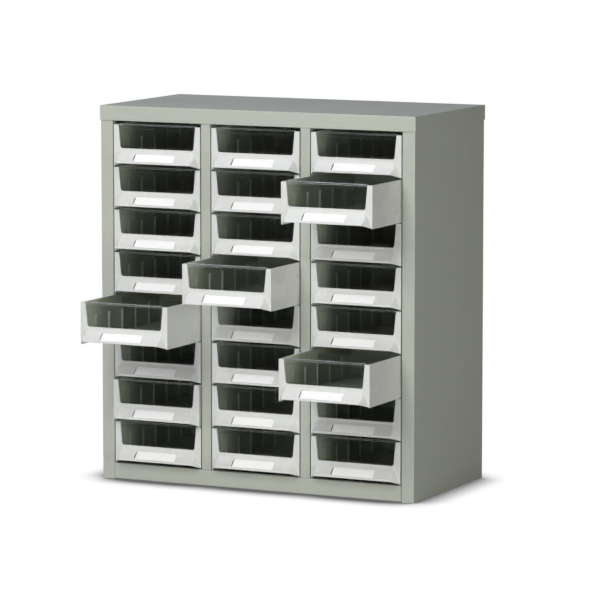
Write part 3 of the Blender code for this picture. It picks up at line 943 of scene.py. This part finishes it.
def add_softbox(name, azimuth, elevation, distance, size, power, color):
    """Area light turned towards the cabinet; azimuth from the front to the right, power in watts."""
    data = bpy.data.lights.new(name, "AREA")
    data.shape = "RECTANGLE"
    data.size, data.size_y = size
    data.energy = power
    data.color = color
    light = bpy.data.objects.new(name, data)
    bpy.context.scene.collection.objects.link(light)
    a, e = math.radians(azimuth), math.radians(elevation)
    away = Vector((math.sin(a) * math.cos(e), -math.cos(a) * math.cos(e), math.sin(e)))
    light.location = Vector((0, 0, LIGHT_AIM_HEIGHT)) + away * distance
    light.rotation_mode = "QUATERNION"
    light.rotation_quaternion = (-away).to_track_quat("-Z", "Y")
    light.visible_camera = False


def add_floor():
    """Pale studio floor that glows white to the camera, with a painted contact shadow near the cabinet.
    """
    bm = bmesh.new()
    bmesh.ops.create_circle(bm, cap_ends=True, segments=64, radius=FLOOR_RADIUS)
    mesh = bpy.data.meshes.new("floor")
    bm.to_mesh(mesh)
    bm.free()
    s = Shading("studio_floor")
    seen = s.add("ShaderNodeLightPath").outputs["Is Camera Ray"]
    # Painted shadow: the glow dims where ambient occlusion finds the cabinet close by.
    nearness = s.add("ShaderNodeAmbientOcclusion", {"Distance": CONTACT_SHADOW_REACH}, samples=16)
    open_sky = nearness.outputs["AO"]
    white = s.add("ShaderNodeEmission", {
        "Color": WHITE, "Strength": s.spread(open_sky, 0.5, 0.93, CONTACT_SHADOW_DARKEST, 1.0)})
    bounce = s.add("ShaderNodeBsdfDiffuse", {"Color": (FLOOR_BOUNCE, FLOOR_BOUNCE, FLOOR_BOUNCE, 1.0)})
    both = s.add("ShaderNodeMixShader", {0: seen, 1: bounce.outputs[0], 2: white.outputs[0]})
    mesh.materials.append(s.finish(both.outputs[0]))
    floor = link("floor", mesh)
    floor.location.z = cad_box[0].z
    floor.visible_glossy = False


def sky_ramp(tree, height, span, top):
    """Strength that rises from nothing to its top value over a span of heights in the sky."""
    node = tree.nodes.new("ShaderNodeMapRange")
    node.inputs["From Min"].default_value, node.inputs["From Max"].default_value = span
    node.inputs["To Max"].default_value = top
    tree.links.new(height, node.inputs["Value"])
    return node.outputs[0]


def sky_light(tree, color, strength=1.0):
    """Background of one colour; its strength is a number or a socket."""
    node = tree.nodes.new("ShaderNodeBackground")
    node.inputs["Color"].default_value = color
    if isinstance(strength, bpy.types.NodeSocket):
        tree.links.new(strength, node.inputs["Strength"])
    else:
        node.inputs["Strength"].default_value = strength
    return node.outputs[0]


def either(tree, share, first, second):
    """The first shader where the share is 0, and the second where it is 1."""
    node = tree.nodes.new("ShaderNodeMixShader")
    for index, socket in enumerate((share, first, second)):
        tree.links.new(socket, node.inputs[index])
    return node.outputs[0]


def add_world():
    """White studio: bright to the eye, softer as light, and dark low down in reflections."""
    world = bpy.data.worlds.new("studio")
    bpy.context.scene.world = world
    world.use_nodes = True
    tree = world.node_tree
    tree.nodes.clear()
    output = tree.nodes.new("ShaderNodeOutputWorld")
    path = tree.nodes.new("ShaderNodeLightPath")
    place = tree.nodes.new("ShaderNodeTexCoord")
    axes = tree.nodes.new("ShaderNodeSeparateXYZ")
    tree.links.new(place.outputs["Generated"], axes.inputs[0])
    mirrored = tree.nodes.new("ShaderNodeMath")
    mirrored.operation = "ADD"
    tree.links.new(sky_ramp(tree, axes.outputs["Z"], LOW_SKY, MIRRORED_SKY), mirrored.inputs[0])
    tree.links.new(sky_ramp(tree, axes.outputs["Z"], HIGH_SKY, MIRRORED_ZENITH), mirrored.inputs[1])
    ambient = sky_light(tree, AMBIENT_COLOR, AMBIENT)
    mirrored_sky = sky_light(tree, MIRRORED_COLOR, mirrored.outputs[0])
    unseen = either(tree, path.outputs["Is Glossy Ray"], ambient, mirrored_sky)
    surface = either(tree, path.outputs["Is Camera Ray"], unseen, sky_light(tree, WHITE))
    tree.links.new(surface, output.inputs["Surface"])


def add_lights():
    """Soft light from above the front, from both sides, from low down, from overhead and from behind."""
    for softbox in SOFTBOXES:
        add_softbox(*softbox)


bpy.context.scene.view_settings.view_transform = "Standard"
add_camera()
add_world()
add_lights()
add_floor()
paint_steel()
add_drawers()
